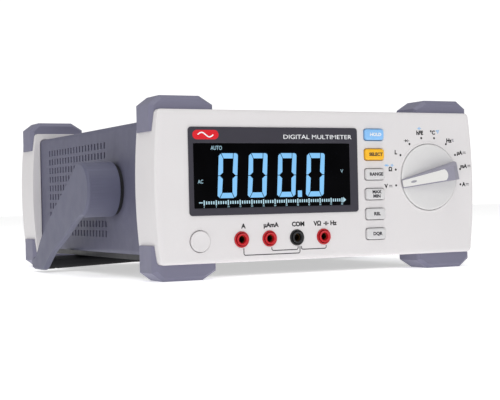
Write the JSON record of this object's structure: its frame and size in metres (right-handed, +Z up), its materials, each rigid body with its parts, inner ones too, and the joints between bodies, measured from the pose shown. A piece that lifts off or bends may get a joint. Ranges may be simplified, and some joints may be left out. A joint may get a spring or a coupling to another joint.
{
  "type": "bench multimeter",
  "caption": "Bench multimeter: wide box case with lit display, rotary function dial, push keys, banana jacks, corner bumpers and a swinging carry handle that can prop it up.",
  "frame": {"origin": "under the middle of the whole object, on the bench top", "axes": "+X to the right of the front panel, +Y from the front panel to the rear, +Z up"},
  "size_m": [0.2642, 0.2876, 0.1103],
  "materials": {
    "panel_plastic": "fine matt moulding",
    "case_plastic": "fine spark-eroded texture",
    "bumper_plastic": "satin soft plastic",
    "rear_panel_plastic": "fine matt moulding",
    "display_surround": "satin",
    "display_glass": "clear glossy window over a dark display",
    "lcd": "gloss",
    "diffuser": "matt",
    "circuit_board": "solder mask",
    "steel": "zinc plated",
    "black_plastic": "semi gloss",
    "red_plastic": "semi gloss",
    "brass": "turned",
    "copper_winding": "enamelled wire under varnish",
    "capacitor_sleeve": "printed sleeve",
    "fuse_ceramic": "glazed",
    "ribbon": "satin",
    "dial_grey": "satin",
    "dial_violet": "satin",
    "dial_white": "satin",
    "handle_plastic": "fine matt moulding",
    "bar_plastic": "soft grip",
    "key_blue": "satin",
    "key_yellow": "satin",
    "key_white": "satin",
    "power_key_plastic": "satin"
  },
  "bodies": {
    "case": {"front_bezel": "panel_plastic", "rear_bezel": "panel_plastic", "top_cover": "case_plastic", "bumper_front_top_left": "bumper_plastic", "bumper_front_top_right": "bumper_plastic", "bumper_front_bottom_left": "bumper_plastic", "bumper_front_bottom_right": "bumper_plastic", "bumper_rear_top_left": "bumper_plastic", "bumper_rear_top_right": "bumper_plastic", "bumper_rear_bottom_left": "bumper_plastic", "bumper_rear_bottom_right": "bumper_plastic", "rear_panel": "rear_panel_plastic", "display_frame": "display_surround", "display_window": "display_glass", "lcd_panel": "lcd", "backlight": "diffuser", "front_board": "circuit_board", "main_board": "circuit_board", "dial_stator": "circuit_board", "tact_switches": "steel", "transformer_core": "steel", "tray_screws": "steel", "board_screws": "steel", "rear_screws": "steel", "bottom_tray": "black_plastic", "jack_block": "black_plastic", "jack_housing_com": "black_plastic", "power_switch": "black_plastic", "power_inlet": "black_plastic", "inlet_fuse_drawer": "black_plastic", "pivot_spigot_left": "black_plastic", "pivot_spigot_right": "black_plastic", "jack_housing_a": "red_plastic", "jack_housing_ma": "red_plastic", "jack_housing_v": "red_plastic", "jack_sleeve_a": "brass", "jack_sleeve_ma": "brass", "jack_sleeve_com": "brass", "jack_sleeve_v": "brass", "fuse_clips": "brass", "inlet_pins": "brass", "transformer_winding": "copper_winding", "capacitors": "capacitor_sleeve", "fuses": "fuse_ceramic", "ribbon_cable": "ribbon"},
    "dial": {"dial_disc": "dial_grey", "dial_grip": "dial_violet", "dial_inlay": "dial_white", "dial_shaft": "steel", "dial_rotor": "black_plastic"},
    "handle": {"handle_arm_left": "handle_plastic", "handle_arm_right": "handle_plastic", "handle_crossbar": "bar_plastic"},
    "key_hold": {"button_hold": "key_blue"},
    "key_select": {"button_select": "key_yellow"},
    "key_range": {"button_range": "key_white"},
    "key_max_min": {"button_max_min": "key_white"},
    "key_rel": {"button_rel": "key_white"},
    "key_dqr": {"button_dqr": "key_white"},
    "power_key": {"power_button": "power_key_plastic"}
  },
  "joints": [
    {"name": "dial_turn", "type": "hinge", "parent": "case", "child": "dial", "pos_m": [0.0782, -0.1318, 0.0597], "axis": [0, 1, 0], "range_deg": [0, 202.5]},
    {"name": "handle_swing", "type": "hinge", "parent": "case", "child": "handle", "pos_m": [0, -0.0478, 0.0562], "axis": [-1, 0, 0], "range_deg": [0, 300]},
    {"name": "hold_press", "type": "slide", "parent": "case", "child": "key_hold", "axis": [0, 1, 0], "range_m": [0, 0.001], "stiffness_N_per_m": 500, "springref_m": -0.0004},
    {"name": "select_press", "type": "slide", "parent": "case", "child": "key_select", "axis": [0, 1, 0], "range_m": [0, 0.001], "stiffness_N_per_m": 500, "springref_m": -0.0004},
    {"name": "range_press", "type": "slide", "parent": "case", "child": "key_range", "axis": [0, 1, 0], "range_m": [0, 0.001], "stiffness_N_per_m": 500, "springref_m": -0.0004},
    {"name": "max_min_press", "type": "slide", "parent": "case", "child": "key_max_min", "axis": [0, 1, 0], "range_m": [0, 0.001], "stiffness_N_per_m": 500, "springref_m": -0.0004},
    {"name": "rel_press", "type": "slide", "parent": "case", "child": "key_rel", "axis": [0, 1, 0], "range_m": [0, 0.001], "stiffness_N_per_m": 500, "springref_m": -0.0004},
    {"name": "dqr_press", "type": "slide", "parent": "case", "child": "key_dqr", "axis": [0, 1, 0], "range_m": [0, 0.001], "stiffness_N_per_m": 500, "springref_m": -0.0004},
    {"name": "power_press", "type": "slide", "parent": "case", "child": "power_key", "axis": [0, -1, 0], "range_m": [0, 0.003]}
  ]
}
